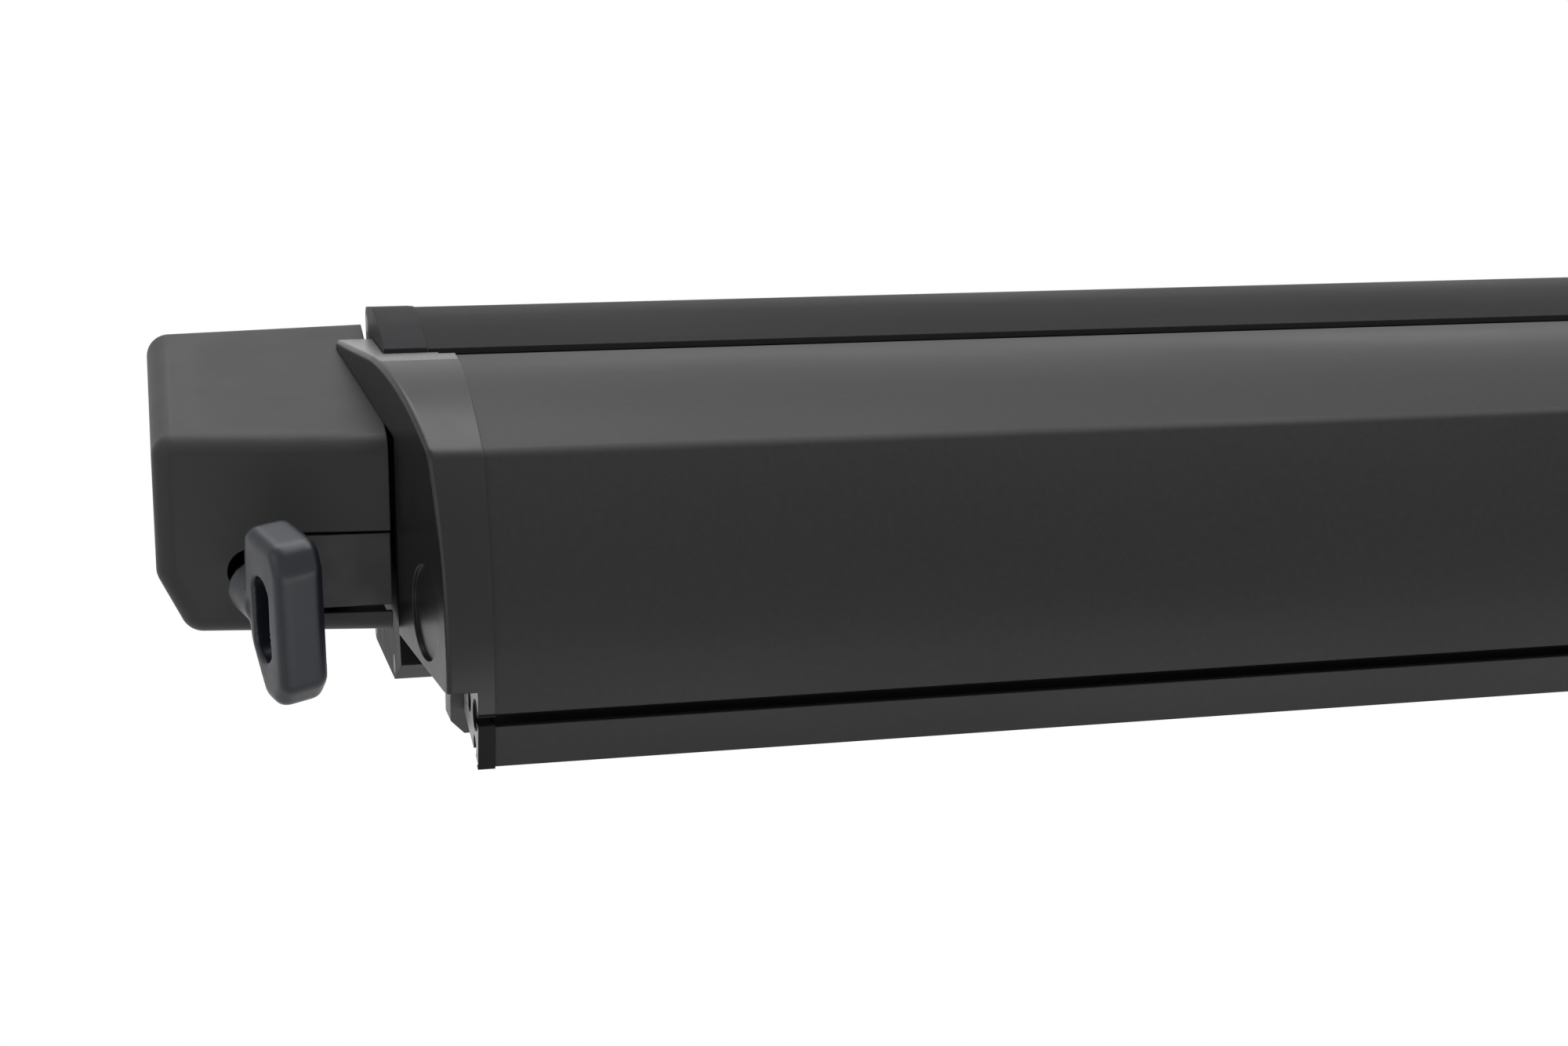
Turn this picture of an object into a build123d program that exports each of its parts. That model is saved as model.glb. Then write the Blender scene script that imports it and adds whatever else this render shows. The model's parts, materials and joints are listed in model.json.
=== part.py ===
from build123d import *
import os
from math import acos, asin, atan, atan2, cos, degrees, hypot, pi, radians, sin, sqrt, tan

# Roll out awning, closed. Millimetres, +X along the length (right seen from the front),
# +Y towards the vehicle, +Z up. The origin is the centre of the case's rear mounting face.

# Overall section, measured from the lead bar's bottom front edge, called the toe:
# back is the distance from the toe towards the vehicle, up the height above it.
section_depth = 182.0
face_height = 80.0
case_length = 2756.0
overrun = 5.0
run_clearance = 0.05
seat_gap = 0.3

# Case extrusion
case_wall = 2.4
lip_back = 100.0
lip_up = 142.0
ridge_back = 150.0
ridge_up = 153.0
roof_bulge = 1.6
rear_top_up = 150.0
rear_bottom_up = 8.5
rear_corner = 6.0
sill_back = 95.0
sill_up = 11.5
chin_back = 66.0
chin_up = 24.0
chin_height = 9.0
lip_bead = 3.0
lip_roll = 4.0
lip_roll_bore = 2.4
port_radius = 4.6
port_bore = 2.1
port_sink = 1.2
mount_spacing_x = 2000.0
mount_spacing_z = 50.0
mount_hole_radius = 4.25

# Case end caps, gear cover and right end cover
cap_width = 17.0
cap_proud = 0.6
cap_plate = 4.0
cover_gap = 3.0
cover_width = 87.0
cover_wall = 2.6
cover_round = 9.0
cover_front_back = 60.0
cover_front_set_back = 10.0
cover_bottom_up = 38.0
cover_top_up = 113.0
cover_rear_up = 147.2
cover_outer_drop = 1.5
cover_scoop_in = 12.0
cover_scoop_up = 24.0
cover_rear_clear = 2.0
window_width = 34.0
window_low_up = 46.5
window_high_up = 78.0
window_gap = 1.2
window_set_in = 2.0
cover_boss_radius = 5.0
end_cover_width = 26.0

# Crank gear: a worm on the crank's shaft turns a worm wheel on the roller
gear_module = 3.0
wheel_teeth = 13
wheel_width = 12.0
pressure_angle = 20.0
worm_radius = 9.0
worm_length = 26.0
worm_shaft_radius = 5.0
tooth_backlash = 0.5
tip_clearance = 0.75
mesh_gap = 0.15
crank_outset = 72.0
crank_hole_radius = 9.0
ball_back = 52.0
ball_up = 61.5
ball_radius = 7.0
eye_turn = 22.0
eye_dip = 13.0
eye_lean = 7.0
eye_reach = 27.5
eye_length = 66.0
eye_depth = 34.0
eye_thickness = 19.0
eye_slot_length = 34.0
eye_slot_width = 13.0
eye_corner = 7.0
eye_round = 5.0
eye_hub_radius = 10.5
eye_hub_in = 4.0
# Corners of the eye's loop: shares of half its depth, away from the ball, and of half its length, upwards.
eye_outline_shares = [
    (-1, 0.2), (-0.85, 1), (0.75, 1), (1, 0.7), (1, -0.7), (0.6, -1), (-0.1, -1), (-0.75, -0.45),
]
housing_wall = 3.0
housing_length = 50.0
gear_clear = 0.8

# Roller and canopy
roller_back = 138.0
roller_up = 100.0
tube_radius = 30.0
tube_wall = 1.6
stub_radius = 10.0
bush_wall = 3.0
bush_flange = 3.0
roll_radius = 36.0
canopy_thickness = 1.0
canopy_inset = 48.0
roller_end_gap = 12.0
plug_length = 30.0

# Lead bar
bar_inset = 4.0
bar_wall = 2.2
bar_depth = 93.9
bar_height = 140.0
crease_back = 13.7
crease_up = 114.3
crease_round = 9.0
lower_bulge = 10.5
upper_bulge = 5.3
groove_up = 18.2
groove_mouth = 4.9
groove_back = 6.0
groove_radius = 5.9
port_low_back = 10.5
port_low_up = 5.6
port_low_radius = 4.0
port_high_back = 24.0
port_high_up = 19.5
port_high_radius = 4.7
web_back = 41.0
web_up = 10.6
web_top = 30.2
leg_bay_back = 61.0
leg_bay_drop = 14.0
hem_back = 66.0
hem_up = 122.0
hem_radius = 4.5
hem_wall = 1.8
hem_rod_radius = 3.6
hem_mouth = 3.4

# Lead bar end caps
bar_cap_outset = 12.0
bar_cap_skirt = 6.0
bar_cap_wall = 3.0
bar_cap_round = 2.5
bar_cap_foot_up = 29.5
bar_cap_foot_rise = 8.0
bar_cap_rear_back = 60.0
bar_cap_skin = 0.8
bar_cap_end_gap = 0.3
ear_back = 148.0
ear_outset = 36.4
ear_clear = 1.0
grip_back = 22.0
grip_up = 54.0
grip_radius = 18.0
grip_depth = 1.5

# Folding arms: the fold plane tips down towards the front
fold_tilt = 8.5
arm_inset = 70.0
arm_middle_gap = 58.0
shoulder_back = 78.0
shoulder_up = 68.0
pivot_offset = 40.0
arm_tube_width = 26.0
arm_tube_height = 40.0
arm_tube_wall = 2.2
arm_tube_round = 4.0
arm_tube_shift = 4.0
hub_radius = 17.5
knuckle_reach = 22.0
knuckle_block = 16.0
plug_in = 26.0
tongue_height = 20.0
pin_radius = 6.0
pin_head_radius = 8.5
pin_head = 2.5
lug_thickness = 7.0
bracket_plate = 5.0
bracket_width = 52.0
lug_web_gap = 1.2

# Support legs
leg_inset = 8.0
leg_end = 13.0
leg_chamfer = 5.0
leg_middle_gap = 206.0
leg_back = 51.0
leg_up = 14.5
leg_width = 17.0
leg_height = 22.0
leg_wall = 1.6
leg_inner_gap = 0.4
leg_stow = 52.0
leg_overlap = 268.0
leg_pin_radius = 4.0
leg_knuckle = 26.0
foot_length = 44.0
foot_plate = 5.0
clamp_length = 38.0
clamp_wall = 1.2

# Fasteners and seal
screw_radius = 3.9
screw_head = 2.4
screw_shank = 2.0
seal_gap = 0.3
screw_length = 14.0
seal_height = 4.0

# Lengths that follow from the case's
case_end = case_length / 2
bar_end = case_end - bar_inset
canopy_end = case_end - canopy_inset
arm_length = case_end - arm_inset - arm_middle_gap
leg_length = bar_end - leg_inset - leg_middle_gap
leg_travel = leg_length - leg_overlap - leg_stow


def place(back, up):
    """Part frame (y, z) of a point of the section."""
    return (back - section_depth, up - face_height)


def at(x, back, up):
    """Part frame point."""
    return (x, back - section_depth, up - face_height)


def prism(face, left, right):
    """Solid of a section face, drawn in (y, z), between two stations along the length."""
    return extrude(Plane.YZ.offset(left) * face, amount=right - left)


def outline(points):
    """Face of a closed outline given as (back, up) points."""
    return make_face(Polyline(*[place(*point) for point in points], close=True))


def disc(back, up, radius):
    return Pos(*place(back, up)) * Circle(radius)


def box_between(low, high):
    """Solid box between two part frame corners."""
    size = [high[axis] - low[axis] for axis in range(len(low))]
    middle = [(high[axis] + low[axis]) / 2 for axis in range(len(low))]
    return Pos(*middle) * Box(*size)


def rod(start, end, radius):
    """Cylinder from one point to another."""
    axis = Vector(*end) - Vector(*start)
    return extrude(Plane(origin=start, z_dir=axis.normalized()) * Circle(radius), amount=axis.length)


def both_ends(part):
    """The part and its mirror image at the other end of the awning."""
    return [part, mirror(part, about=Plane.YZ)]


# Sections


def case_region():
    """The case's full outline, closed across its front."""
    path = [
        Line(place(chin_back, chin_up), place(lip_back, lip_up)),
        SagittaArc(place(lip_back, lip_up), place(ridge_back, ridge_up), roof_bulge),
        Line(place(ridge_back, ridge_up), place(section_depth, rear_top_up)),
        Line(place(section_depth, rear_top_up), place(section_depth, rear_bottom_up)),
        Line(place(section_depth, rear_bottom_up), place(sill_back, sill_up)),
        Line(place(sill_back, sill_up), place(chin_back, chin_up)),
    ]
    region = make_face(path)
    rear_corners = region.vertices().sort_by(Axis.X)[-2:]
    return fillet(rear_corners, rear_corner)


def case_front_window():
    """The mouth that the lead bar closes."""
    return outline([
        (chin_back - overrun, chin_up + chin_height),
        (lip_back - overrun, lip_up - case_wall),
        (lip_back + case_wall, lip_up - case_wall),
        (chin_back + case_wall + overrun, chin_up + chin_height),
    ])


def floor_up(back):
    """Height of the case's inner floor."""
    slope = (rear_bottom_up - sill_up) / (section_depth - sill_back)
    return sill_up + slope * (back - sill_back) + case_wall


def screw_ports():
    """Places of the screw ports that the extrusion's ends carry, as (back, up)."""
    inset = case_wall + port_radius - port_sink
    rear = section_depth - inset
    return [(rear, rear_bottom_up + inset), (rear, rear_top_up - inset), (sill_back, sill_up + inset)]


def case_section():
    region = case_region()
    hollow = offset(region, -case_wall)
    section = region - hollow - case_front_window()
    bead = disc(lip_back + lip_bead, lip_up - lip_bead, lip_bead)
    section += bead & region
    for back, up in screw_ports():
        section += (disc(back, up, port_radius) & region)
        section -= disc(back, up, port_bore)
    return section


def panel_path():
    """Outer face of the lead bar, from the toe over the crease to the top rear edge."""
    toe = place(0, 0)
    crease = place(crease_back, crease_up)
    top = place(bar_depth, bar_height)
    return [SagittaArc(toe, crease, lower_bulge), SagittaArc(crease, top, upper_bulge)]


def panel_region(rear_points):
    """Face behind the lead bar's outer face, closed through points given as (back, up)."""
    top = place(bar_depth, bar_height)
    corners = [top] + [place(*point) for point in rear_points] + [place(0, 0)]
    face = make_face(panel_path() + [Polyline(*corners)])
    crease_y = place(crease_back, crease_up)[0]
    crease_z = place(crease_back, crease_up)[1]
    corner = face.vertices().sort_by(lambda v: hypot(v.X - crease_y, v.Y - crease_z))[0]
    return fillet(corner, crease_round)


def bar_whole():
    """Full outline of the lead bar's extrusion."""
    rear_points = [(bar_depth, bar_height - web_up), (leg_bay_back, leg_bay_drop), (web_back, web_up)]
    return panel_region(rear_points)


def bar_section():
    whole = bar_whole()
    skin = whole - offset(whole, -bar_wall)
    skin -= outline([
        (port_low_back, web_top - bar_wall),
        (crease_back + crease_back, crease_up),
        (bar_depth - bar_wall, bar_height - bar_wall),
        (bar_depth + overrun, bar_height - bar_wall),
        (bar_depth + overrun, -overrun),
        (web_back, -overrun),
        (web_back, web_top - bar_wall),
    ])
    web = outline([
        (-section_depth, -overrun),
        (web_back, -overrun),
        (web_back, web_top),
        (-section_depth, web_top),
    ])
    bay_rear = leg_bay_back + bar_wall
    bay_top = outline([
        (web_back - bar_wall, web_top - bar_wall),
        (bay_rear, web_top - bar_wall),
        (bay_rear, web_top),
        (web_back - bar_wall, web_top),
    ])
    bay_wall = outline([
        (leg_bay_back, leg_bay_drop),
        (bay_rear, leg_bay_drop),
        (bay_rear, web_top),
        (leg_bay_back, web_top),
    ])
    rail = disc(hem_back, hem_up, hem_radius + hem_wall)
    rib = outline([
        (hem_back - hem_wall, hem_up),
        (hem_back + hem_wall, hem_up),
        (hem_back + hem_wall, bar_height),
        (hem_back - hem_wall, bar_height),
    ])
    section = skin + (web & whole) + bay_top + bay_wall + rail + (rib & whole)
    section -= disc(hem_back, hem_up, hem_radius)
    section -= outline([
        (hem_back, hem_up - hem_mouth / 2),
        (hem_back + hem_radius + hem_radius, hem_up - hem_mouth / 2),
        (hem_back + hem_radius + hem_radius, hem_up + hem_mouth / 2),
        (hem_back, hem_up + hem_mouth / 2),
    ])
    section -= disc(port_low_back, port_low_up, port_low_radius)
    section -= disc(port_high_back, port_high_up, port_high_radius)
    section -= disc(groove_back, groove_up, groove_radius)
    section -= groove_mouth_face(0)
    return section


def groove_mouth_face(trim):
    """Front slot of the accessory groove, narrowed by trim on both sides."""
    half = groove_mouth / 2 - trim
    return outline([
        (-section_depth, groove_up - half),
        (groove_back, groove_up - half),
        (groove_back, groove_up + half),
        (-section_depth, groove_up + half),
    ])


# Case


def case_extrusion():
    body = prism(case_section(), -case_end, case_end)
    for x in (-mount_spacing_x / 2, mount_spacing_x / 2):
        for z in (-mount_spacing_z / 2, mount_spacing_z / 2):
            body -= rod((x, -case_wall - overrun, z), (x, overrun, z), mount_hole_radius)
    return body


def case_cap():
    """Left end cap: outer plate, rim and screw bosses."""
    outer = offset(case_region(), cap_proud)
    inner = offset(case_region(), -case_wall)
    left = -case_end - cap_width
    cap = prism(outer, left, left + cap_plate) + prism(outer - inner, left, -case_end)
    wall_side = (-case_end + overrun, section_depth, section_depth)
    cap -= box_between((left - overrun, 0, -section_depth), wall_side)
    for back, up in screw_ports():
        boss = prism(disc(back, up, port_radius) & outer, left, -case_end)
        cap += boss
        cap -= prism(disc(back, up, screw_shank + run_clearance), left - overrun, -case_end + overrun)
        cap -= prism(disc(back, up, screw_radius + run_clearance), left - overrun, left + screw_head)
    bush_seat = disc(roller_back, roller_up, stub_radius + bush_wall + run_clearance)
    cap -= prism(bush_seat, left - overrun, -case_end)
    roll_back = lip_back + lip_roll
    roll_up = lip_up - lip_roll
    cap += prism(disc(roll_back, roll_up, lip_roll) & outer, left, -case_end)
    return cap - prism(disc(roll_back, roll_up, lip_roll_bore), left - overrun, -case_end - cap_plate)


def cap_screws():
    left = -case_end - cap_width
    screws = []
    for back, up in screw_ports():
        head = prism(disc(back, up, screw_radius), left, left + screw_head)
        screws.append(head + prism(disc(back, up, screw_shank), left, left + cap_width + screw_length))
    return Compound(children=screws)


def roller_bush():
    """Flanged bush of the roller's stub in the left end cap."""
    left = -case_end - cap_width
    ring = disc(roller_back, roller_up, stub_radius + bush_wall)
    flange = disc(roller_back, roller_up, stub_radius + bush_wall + bush_flange)
    seat = left + cap_plate
    bush = prism(ring, left, seat + bush_flange) + prism(flange, seat, seat + bush_flange)
    bore = disc(roller_back, roller_up, stub_radius + run_clearance)
    return bush - prism(bore, left - overrun, -case_end)


def seal_strip():
    """Rubber seal under the case's roof, just behind the lip."""
    back = lip_back + lip_bead + lip_bead + seal_gap
    low = lip_up - case_wall - seal_height
    rear = back + seal_height
    strip = outline([(back, low), (back, ridge_up), (rear, ridge_up), (rear, low)])
    return prism(strip & offset(case_region(), -case_wall - seal_gap), -case_end, case_end)


# Gear cover and end cover


def cover_side(front, low, top, rear, rear_top):
    """Side outline of a cover: upright front, sloping top, upright back."""
    return outline([(front, low), (front, top), (rear, rear_top), (rear, low)])


def cover_loft(width, inset):
    """Cover solid between the end cap side and the free end, shrunk by inset all round."""
    near = -case_end - cap_width - cover_gap
    far = near - width
    rear = section_depth - cover_rear_clear
    near_face = cover_side(cover_front_back, cover_bottom_up, cover_top_up, rear, cover_rear_up)
    slope = (cover_rear_up - cover_top_up) / (rear - cover_front_back)
    far_face = cover_side(
        cover_front_back + cover_front_set_back,
        cover_bottom_up + cover_outer_drop,
        cover_top_up + slope * cover_front_set_back - cover_outer_drop,
        rear - cover_outer_drop,
        cover_rear_up - slope * cover_outer_drop - cover_outer_drop,
    )
    if inset:
        near_face = offset(near_face, -inset, kind=Kind.INTERSECTION)
        far_face = offset(far_face, -inset, kind=Kind.INTERSECTION)
        near = near + overrun
        far = far + inset
    return loft([Plane.YZ.offset(near) * near_face, Plane.YZ.offset(far) * far_face], ruled=True)


def cover_shell(width):
    """Moulded cover, open towards the end cap, scooped away under its free end."""
    near = -case_end - cap_width - cover_gap
    shells = []
    for inset in (0, cover_wall):
        body = cover_loft(width, inset)
        far = near - width + inset
        low = place(0, cover_bottom_up)[1] + inset
        scoop = make_face(Polyline(
            (far - overrun, low - overrun),
            (far + cover_scoop_in, low - overrun),
            (far + cover_scoop_in, low),
            (far, low + cover_scoop_up),
            (far - overrun, low + cover_scoop_up),
            close=True,
        ))
        body -= extrude(Plane.XZ * scoop, amount=section_depth)
        free = body.edges().filter_by(lambda edge: edge.center().X < near - cover_wall)
        shells.append(fillet(free, cover_round - inset))
    return shells[0] - shells[1]


def gear_cover():
    near = -case_end - cap_width - cover_gap
    cover = cover_shell(cover_width)
    front = place(cover_front_back, 0)[0]
    cover -= box_between(
        (near - window_width, front - overrun, place(0, window_low_up)[1]),
        (near + overrun, front + cover_wall + overrun, place(0, window_high_up)[1]),
    )
    reach = cover_front_back + cover_front_set_back + cover_wall + overrun - ball_back
    hole_end = ball_centre() + worm_axis().z_dir * reach
    cover -= rod(tuple(ball_centre()), tuple(hole_end), crank_hole_radius)
    return cover + cover_boss(cover_width)


def cover_boss(width):
    """Boss on the cover's inner end face that rests on the gear housing."""
    far = -case_end - cap_width - cover_gap - width + cover_wall / 2
    tip = gear_x() - housing_half() - seat_gap
    return prism(disc(roller_back, roller_up, cover_boss_radius), far, tip)


# Crank gear


def gear_x():
    return -case_end - crank_outset


def wheel_radius():
    return gear_module * wheel_teeth / 2


def worm_outer():
    return worm_radius + gear_module


def worm_root():
    return worm_radius - gear_module - tip_clearance


def worm_lead_angle():
    return degrees(atan(gear_module / (worm_radius + worm_radius)))


def worm_axis():
    """Plane at the point of the worm's axis nearest the wheel: z along the shaft away from the
    crank, x towards the wheel's centre."""
    distance = hypot(roller_back - ball_back, roller_up - ball_up)
    reach = wheel_radius() + worm_radius + mesh_gap
    slope = atan2(roller_up - ball_up, roller_back - ball_back) - asin(reach / distance)
    foot = at(gear_x(), roller_back + reach * sin(slope), roller_up - reach * cos(slope))
    return Plane(origin=foot, x_dir=(0, -sin(slope), cos(slope)), z_dir=(0, cos(slope), sin(slope)))


def ball_centre():
    return Vector(*at(gear_x(), ball_back, ball_up))


def housing_half():
    return worm_outer() + gear_clear + housing_wall


def involute_point(base, radius, side, half_angle):
    """Point of an involute flank at a radius, with the tooth's middle on the x axis."""
    pressure = acos(base / radius)
    roll = tan(pressure) - pressure
    angle = side * (half_angle - roll)
    return (radius * cos(angle), radius * sin(angle))


def wheel_tooth():
    """Face of one tooth of the worm wheel, its middle on the x axis."""
    pitch = wheel_radius()
    base = pitch * cos(radians(pressure_angle))
    root = pitch - gear_module - tip_clearance
    tip = pitch + gear_module
    start = radians(pressure_angle)
    half = pi / (wheel_teeth + wheel_teeth) - tooth_backlash / (4 * pitch) + tan(start) - start
    radii = [base, (base + pitch) / 2, pitch, (pitch + tip) / 2, tip]
    left = [involute_point(base, radius, 1, half) for radius in radii]
    right = [involute_point(base, radius, -1, half) for radius in radii]
    foot = root - gear_module
    foot_left = (foot, left[0][1])
    foot_right = (foot, right[0][1])
    return make_face(Polyline(*left, *reversed(right), foot_right, foot_left, close=True))


def worm_wheel():
    pitch = wheel_radius()
    root = pitch - gear_module - tip_clearance
    step = 360 / wheel_teeth
    profile = Circle(root) + [Rot(0, 0, step * turn) * wheel_tooth() for turn in range(wheel_teeth)]
    twist = degrees(wheel_width * tan(radians(worm_lead_angle())) / pitch)
    face = profile.faces()[0]
    blank = Solid.extrude_linear_with_rotation(face, (0, 0, 0), (0, 0, wheel_width), twist)
    blank = Rot(0, 0, -twist / 2) * Part(blank.wrapped)
    axis = worm_axis()
    # A tooth gap faces the worm.
    lie = Plane(
        origin=Vector(*at(gear_x(), roller_back, roller_up)) - Vector(wheel_width / 2, 0, 0),
        x_dir=-axis.x_dir,
        z_dir=(1, 0, 0),
    )
    blank = lie * (Rot(0, 0, 180 / wheel_teeth) * blank)
    bore = disc(roller_back, roller_up, stub_radius + run_clearance)
    return blank - prism(bore, gear_x() - wheel_width, gear_x() + wheel_width)


def worm_shaft():
    """Worm, its shaft and the ball that carries the crank eye."""
    axis = worm_axis()
    pitch = pi * gear_module
    height = worm_length
    slope = tan(radians(pressure_angle))
    half = pitch / 4 - tooth_backlash / 2
    root = worm_root()
    tip_half = half - (worm_outer() - worm_radius) * slope
    root_half = half + (worm_radius - root) * slope
    path = Helix(pitch=pitch, height=height, radius=root)
    thread_face = make_face(Polyline(
        (root - tip_clearance, -root_half),
        (worm_outer(), -tip_half),
        (worm_outer(), tip_half),
        (root - tip_clearance, root_half),
        close=True,
    ))
    thread = sweep(Plane.XZ * thread_face, path=path, is_frenet=True)
    # A crest faces the wheel at the middle of the worm.
    thread = Pos(0, 0, -height / 2) * (Rot(0, 0, -180 * height / pitch) * thread)
    core = Pos(0, 0, -height / 2) * extrude(Circle(root), amount=height)
    reach = (axis.origin - ball_centre()).length
    shaft = extrude(Plane.XY.offset(-reach) * Circle(worm_shaft_radius), amount=reach + housing_length / 2)
    body = axis * (core + thread + shaft)
    return body + Pos(*ball_centre()) * Sphere(ball_radius)


def housing_profile(extra):
    """Side outline of the gear housing: round the wheel, straight along the worm."""
    axis = worm_axis()
    wheel = disc(roller_back, roller_up, wheel_radius() + gear_module + gear_clear + extra)
    slope = degrees(atan2(axis.z_dir.Z, axis.z_dir.Y))
    length = housing_length - (housing_wall - extra) * 2
    strip = Rectangle(length, (worm_outer() + gear_clear + extra) * 2)
    strip = Pos(axis.origin.Y, axis.origin.Z) * (Rot(0, 0, slope) * strip)
    return wheel + strip


def gear_housing(side):
    """One half of the housing, split at the wheel's middle. The inner half reaches the end cap."""
    middle = gear_x()
    axis = worm_axis()
    cavity_half = worm_outer() + gear_clear
    if side < 0:
        body = prism(housing_profile(housing_wall), middle - housing_half(), middle - seat_gap / 2)
        body -= prism(housing_profile(0), middle - cavity_half, middle)
    else:
        near = -case_end - cap_width
        body = prism(housing_profile(housing_wall), middle + seat_gap / 2, near - seat_gap)
        body -= prism(housing_profile(0), middle, middle + cavity_half)
        window_top = window_high_up - window_gap
        front = cover_front_back + window_set_in
        body += prism(
            outline([
                (front, window_low_up + window_gap + window_gap),
                (front, window_top),
                (roller_back - wheel_radius(), window_top),
                (roller_back - wheel_radius(), window_low_up + window_gap + window_gap),
            ]),
            near - cover_gap - window_width + window_gap,
            near - cover_gap,
        )
    bore = stub_radius + run_clearance
    body -= prism(disc(roller_back, roller_up, bore), middle - housing_half() + housing_wall, -case_end)
    end = axis.origin + axis.z_dir * (housing_length / 2 + run_clearance)
    return body - rod(tuple(ball_centre()), tuple(end), worm_shaft_radius + run_clearance)


def eye_frame():
    """Plane at the crank eye's middle: x along its axis away from the ball, z across it."""
    turn = radians(eye_turn)
    dip = radians(eye_dip)
    forward = Vector(sin(turn) * cos(dip), -cos(turn) * cos(dip), -sin(dip))
    side = forward.cross(Vector(0, 0, 1)).normalized()
    side = side.rotate(Axis((0, 0, 0), forward), eye_lean)
    return Plane(origin=ball_centre() + forward * eye_reach, x_dir=forward, z_dir=side)


def crank_eye():
    frame = eye_frame()
    half_depth = eye_depth / 2
    half_length = eye_length / 2
    points = [(along * half_depth, above * half_length) for along, above in eye_outline_shares]
    loop = make_face(Polyline(*points, close=True))
    loop = fillet(loop.vertices(), eye_corner)
    ring = extrude(Plane.XY.offset(-eye_thickness / 2) * loop, amount=eye_thickness)
    ring = fillet(ring.faces().filter_by(Axis.Z).edges(), eye_round)
    slot = RectangleRounded(eye_slot_width, eye_slot_length, eye_slot_width / 2 - run_clearance)
    slot = extrude(Plane.XY.offset(-eye_thickness) * slot, amount=eye_thickness * 2)
    hub_length = eye_reach - eye_slot_width / 2 - eye_hub_in
    hub = extrude(Plane.YZ.offset(-eye_reach) * Circle(eye_hub_radius), amount=hub_length)
    body = ring + hub - slot
    body = frame * body
    return body - Pos(*ball_centre()) * Sphere(ball_radius + run_clearance)


# Roller and canopy


def roller_tube():
    ring = disc(roller_back, roller_up, tube_radius) - disc(roller_back, roller_up, tube_radius - tube_wall)
    return prism(ring, -case_end + roller_end_gap, case_end - roller_end_gap)


def roller_plug(stub_end):
    """Left end plug of the roller with its stub shaft."""
    start = -case_end + roller_end_gap
    inner = tube_radius - tube_wall - run_clearance
    plug = prism(disc(roller_back, roller_up, inner), start, start + plug_length)
    flange = prism(disc(roller_back, roller_up, tube_radius), start - bush_flange, start)
    stub = prism(disc(roller_back, roller_up, stub_radius), stub_end, start)
    return plug + flange + stub


def canopy_roll():
    ring = disc(roller_back, roller_up, roll_radius)
    ring -= disc(roller_back, roller_up, tube_radius + run_clearance)
    return prism(ring, -canopy_end, canopy_end)


def canopy_sheet():
    """Span of fabric from the roll to the lead bar's rail."""
    start = place(hem_back + hem_radius + hem_wall + seat_gap, hem_up)
    centre = place(roller_back, roller_up)
    radius = roll_radius + seat_gap
    distance = hypot(centre[0] - start[0], centre[1] - start[1])
    slope = atan2(centre[1] - start[1], centre[0] - start[0]) + asin(radius / distance)
    run = sqrt(distance * distance - radius * radius)
    along = (cos(slope), sin(slope))
    above = (-sin(slope) * canopy_thickness, cos(slope) * canopy_thickness)
    end = (start[0] + run * along[0], start[1] + run * along[1])
    face = make_face(Polyline(
        start,
        end,
        (end[0] + above[0], end[1] + above[1]),
        (start[0] + above[0], start[1] + above[1]),
        close=True,
    ))
    return prism(face, -canopy_end, canopy_end)


def hem_rod():
    """Rod in the lead bar's rail that holds the canopy's hem."""
    return prism(disc(hem_back, hem_up, hem_rod_radius), -canopy_end, canopy_end)


# Folding arms, drawn in the fold plane: x along the awning, y inwards, z square to the fold


def slant():
    return asin(pivot_offset / 2 / arm_length)


def elbow_point():
    return (arm_length * cos(slant()), -pivot_offset / 2)


def wrist_point():
    return (0, -pivot_offset)


def fold_plane():
    """Fold plane at the left shoulder."""
    tilt = radians(fold_tilt)
    origin = at(-case_end + arm_inset, shoulder_back, shoulder_up)
    return Plane(origin=origin, x_dir=(1, 0, 0), z_dir=(0, -sin(tilt), cos(tilt)))


def arm_bar(start, end, y, width, height, round_radius):
    """Solid bar of rounded section along the arm."""
    face = Pos(y, 0) * RectangleRounded(width, height, round_radius)
    return extrude(Plane.YZ.offset(start) * face, amount=end - start)


def arm_tube(y):
    start = knuckle_reach + knuckle_block
    end = elbow_point()[0] - knuckle_reach - knuckle_block
    tube = arm_bar(start, end, y, arm_tube_width, arm_tube_height, arm_tube_round)
    bore_round = arm_tube_round - arm_tube_wall
    width = arm_tube_width - arm_tube_wall * 2
    height = arm_tube_height - arm_tube_wall * 2
    return tube - arm_bar(start - overrun, end + overrun, y, width, height, bore_round)


def knuckle(pivot, y, direction, layers, bore):
    """Cast arm end: plug in the tube, block, and ears round the pivot in the given layers."""
    near = pivot[0] + direction * knuckle_reach
    far = near + direction * knuckle_block
    inner = far + direction * plug_in
    low, high = sorted((near, far))
    body = arm_bar(low, high, y, arm_tube_width, arm_tube_height, arm_tube_round)
    fit = (arm_tube_wall + run_clearance) * 2
    low, high = sorted((far, inner))
    plug_round = arm_tube_round - arm_tube_wall
    body += arm_bar(low, high, y, arm_tube_width - fit, arm_tube_height - fit, plug_round)
    half = arm_tube_width / 2
    root = near + direction * arm_tube_round
    web = make_face(Polyline(
        (pivot[0], pivot[1] - hub_radius),
        (pivot[0], pivot[1] + hub_radius),
        (near, y + half),
        (root, y + half),
        (root, y - half),
        (near, y - half),
        close=True,
    ))
    ear = web + Pos(*pivot) * Circle(hub_radius)
    for bottom, top in layers:
        body += extrude(Plane.XY.offset(bottom) * ear, amount=top - bottom)
    return body - Pos(*pivot) * Cylinder(bore, arm_tube_height * 2)


def full_layer():
    return [(-arm_tube_height / 2, arm_tube_height / 2)]


def fork_layers():
    inner = tongue_height / 2 + seat_gap
    return [(inner, arm_tube_height / 2), (-arm_tube_height / 2, -inner)]


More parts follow.
